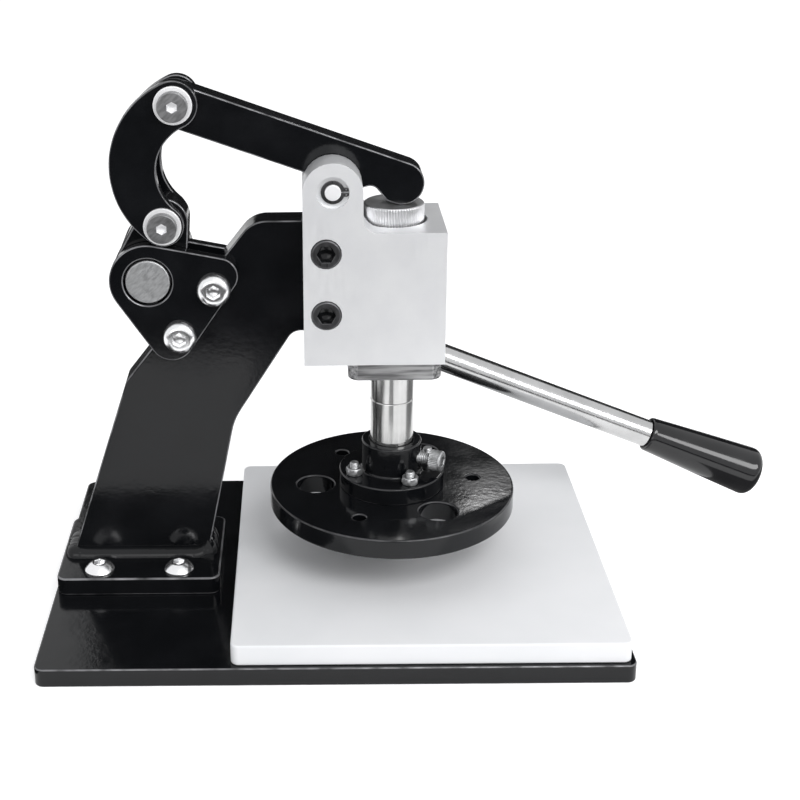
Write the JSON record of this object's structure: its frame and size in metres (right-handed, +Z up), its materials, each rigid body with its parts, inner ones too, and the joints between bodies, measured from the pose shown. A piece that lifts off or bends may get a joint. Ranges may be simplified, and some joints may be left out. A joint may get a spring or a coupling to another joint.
{
  "type": "leather cutting die press",
  "caption": "Hand press that forces a cutting die through leather: a side handle turns a crank whose links rock a lever onto a round ram with a press plate above a cutting board.",
  "frame": {"origin": "middle of the base plate's underside", "axes": "+X to the user's right along the base's long side, +Y away from the user, +Z up out of the base"},
  "size_m": [0.4788, 0.246, 0.345],
  "materials": {
    "black_paint": "gloss black enamel",
    "black_steel": "black oxide, satin",
    "white_nylon": "smooth white sheet, sawn and scraped edges",
    "aluminium": "fine bead-blasted, clear anodised",
    "chrome": "ground and hard chromed",
    "bright_steel": "bright zinc plate",
    "shaft_steel": "turned, plain",
    "spring_steel": "oiled spring wire",
    "black_grip": "polished moulded"
  },
  "bodies": {
    "frame": {"base_plate": "black_paint", "cutting_board": "white_nylon", "foot_plate": "black_paint", "column_plate": "black_paint", "foot_weld": "black_paint", "foot_screw_1": "bright_steel", "foot_screw_2": "bright_steel", "foot_screw_3": "bright_steel", "foot_screw_4": "bright_steel", "head_block": "aluminium", "clamp_screw_lower": "black_steel", "clamp_screw_upper": "black_steel", "lever_pivot_pin": "bright_steel", "pivot_circlip_front": "black_steel", "pivot_circlip_rear": "black_steel", "cheek_front": "black_paint", "cheek_rear": "black_paint", "cheek_bolt_upper": "bright_steel", "cheek_bolt_lower": "bright_steel", "cheek_nut_upper": "bright_steel", "cheek_nut_lower": "bright_steel", "guide_bush": "black_steel", "bush_screw_1": "black_steel", "bush_screw_2": "black_steel", "bush_screw_3": "black_steel", "bush_screw_4": "black_steel"},
    "crank": {"crank_shaft": "shaft_steel", "crank_key": "bright_steel", "crank_arm": "black_paint", "crank_pin": "shaft_steel", "crank_pin_screw_front": "bright_steel", "crank_pin_screw_rear": "bright_steel", "crank_pin_washer_front": "bright_steel", "crank_pin_washer_rear": "bright_steel", "handle_hub": "black_paint", "handle_set_screw": "black_steel", "handle_bar": "chrome", "handle_grip": "black_grip"},
    "links": {"link_front": "black_paint", "link_rear": "black_paint", "link_pin_screw_front": "bright_steel", "link_pin_screw_rear": "bright_steel", "link_pin_washer_front": "bright_steel", "link_pin_washer_rear": "bright_steel"},
    "rocker": {"rocking_lever": "black_paint", "link_pin": "shaft_steel"},
    "ram": {"ram": "chrome", "return_spring": "spring_steel", "press_disc": "black_paint", "ram_hub": "black_paint", "hub_stud_1": "bright_steel", "hub_stud_2": "bright_steel", "hub_stud_3": "bright_steel", "hub_stud_4": "bright_steel", "hub_nut_1": "bright_steel", "hub_nut_2": "bright_steel", "hub_nut_3": "bright_steel", "hub_nut_4": "bright_steel", "hub_lock_screw": "bright_steel"},
    "cap": {"adjusting_cap": "bright_steel"}
  },
  "joints": [
    {"name": "handle_turn", "type": "hinge", "parent": "frame", "child": "crank", "pos_m": [-0.1124, 0.003, 0.2181], "axis": [0, -1, 0], "range_deg": [0, 100]},
    {"name": "link_swing", "type": "hinge", "parent": "crank", "child": "links", "pos_m": [-0.10157, 0.003, 0.25421], "axis": [0, -1, 0], "range_deg": [-130, 1]},
    {"name": "lever_rock", "type": "hinge", "parent": "frame", "child": "rocker", "pos_m": [0.0022, 0.003, 0.278], "axis": [0, -1, 0], "range_deg": [0, 26]},
    {"name": "ram_slide", "type": "slide", "parent": "frame", "child": "ram", "axis": [0, 0, 1], "range_m": [0, 0.019], "deforming": ["return_spring"]},
    {"name": "cap_turn", "type": "hinge", "parent": "ram", "child": "cap", "pos_m": [0.0405, 0.003, 0.2572], "axis": [0, 0, 1], "continuous": true}
  ],
  "couplings": [
    {"joint": "link_swing", "follows": "handle_turn", "ratio": -1.2936},
    {"joint": "lever_rock", "follows": "handle_turn", "ratio": 0.25614},
    {"joint": "ram_slide", "follows": "handle_turn", "m_per_rad": 0.010531}
  ]
}
